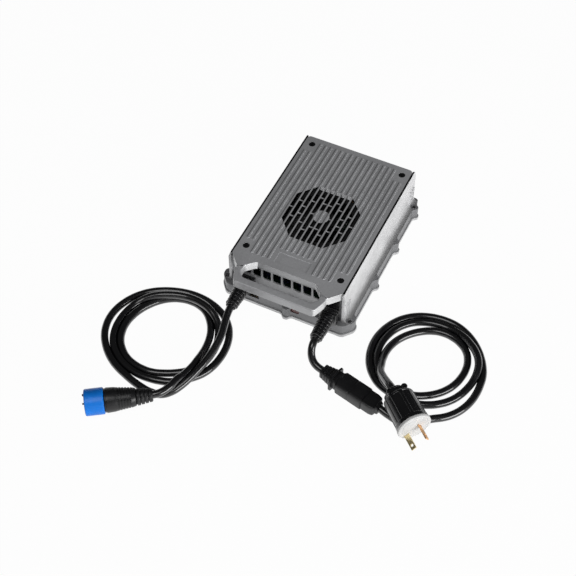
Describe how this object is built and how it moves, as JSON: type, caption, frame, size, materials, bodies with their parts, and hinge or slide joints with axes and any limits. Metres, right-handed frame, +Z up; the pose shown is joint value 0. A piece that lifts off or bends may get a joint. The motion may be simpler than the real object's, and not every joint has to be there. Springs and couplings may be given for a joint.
{
  "type": "electric motorcycle charger",
  "caption": "Fan-cooled aluminium battery charger with a carrying handle, a coiled charging cord with a blue coupling ring, and a coiled mains cord.",
  "frame": {"origin": "under the middle of the case, on the surface that it stands on", "axes": "+X to the right seen from the handle's end, +Y from the handle towards the back, +Z up"},
  "size_m": [0.442, 0.4606, 0.071],
  "materials": {
    "plate_metal": "satin die-cast aluminium",
    "cast_metal": "dark grey cast aluminium",
    "panel_metal": "bright satin aluminium",
    "front_metal": "grey satin",
    "lid_metal": "grey satin aluminium",
    "gasket_rubber": "matt black",
    "black_steel": "black oxide",
    "plain_steel": "zinc plated",
    "fan_plastic": "matt black",
    "rotor_plastic": "matt black",
    "board_green": "green solder mask",
    "brass_fittings": "plain brass",
    "ferrite": "dark grey ferrite",
    "copper_winding": "enamelled copper",
    "choke_green": "green coated core",
    "capacitor_sleeve": "dark blue sleeve",
    "sink_metal": "plain extruded aluminium",
    "black_resin": "moulded black resin",
    "fuse_ceramic": "white ceramic",
    "relay_blue": "blue plastic",
    "terminal_green": "green plastic",
    "indicator_red": "dark red lens",
    "port_black": "black",
    "gold_contacts": "gold plated",
    "gland_black": "black moulded strain relief",
    "cord_black": "glossy black jacket",
    "moulded_black": "satin black moulding",
    "plug_black": "glossy black",
    "plug_white": "white",
    "blade_brass": "plain brass",
    "insert_black": "black",
    "ring_blue": "bright blue"
  },
  "bodies": {
    "charger": {"bottom_plate": "plate_metal", "base_tray": "cast_metal", "side_panel_right": "panel_metal", "side_panel_left": "panel_metal", "front_panel": "front_metal", "back_panel": "front_metal", "top_cover": "lid_metal", "cover_gasket": "gasket_rubber", "cover_screws": "black_steel", "lid_pillars": "plain_steel", "base_screws": "black_steel", "fan_frame": "fan_plastic", "fan_screws": "plain_steel", "main_board": "board_green", "board_standoffs": "brass_fittings", "board_screws": "plain_steel", "transformer_core": "ferrite", "transformer_winding": "copper_winding", "choke_core": "choke_green", "choke_winding": "copper_winding", "bulk_capacitors": "capacitor_sleeve", "heat_sinks": "sink_metal", "power_transistors": "black_resin", "bridge_rectifier": "black_resin", "control_card": "board_green", "fuse": "fuse_ceramic", "relay": "relay_blue", "mains_terminal_block": "terminal_green", "output_terminal_block": "terminal_green", "indicator_lens": "indicator_red", "service_port": "port_black", "port_contacts": "gold_contacts", "mains_bushing": "gland_black", "mains_boot": "gland_black", "charge_bushing": "gland_black", "charge_boot": "gland_black", "mains_lead": "cord_black", "inlet_plug": "moulded_black", "line_connector": "moulded_black", "mains_cord_start": "cord_black", "mains_coil": "cord_black", "mains_cord_end": "cord_black", "plug_clamp": "plug_black", "plug_shell": "plug_black", "plug_face": "plug_white", "plug_blade_live": "blade_brass", "plug_blade_neutral": "blade_brass", "charge_lead": "cord_black", "charge_coil": "cord_black", "charge_cord_end": "cord_black", "charge_plug_boot": "moulded_black", "charge_plug_barrel": "moulded_black", "charge_plug_insert": "insert_black"},
    "rotor": {"fan_rotor": "rotor_plastic"},
    "ring": {"coupling_ring": "ring_blue"}
  },
  "joints": [
    {"name": "fan_spin", "type": "hinge", "parent": "charger", "child": "rotor", "pos_m": [0, 0.005, 0.055], "axis": [0, 0, 1], "continuous": true},
    {"name": "ring_turn", "type": "hinge", "parent": "charger", "child": "ring", "pos_m": [-0.13392, -0.31361, 0.0155], "axis": [-0.8321, -0.5547, 0], "continuous": true}
  ]
}
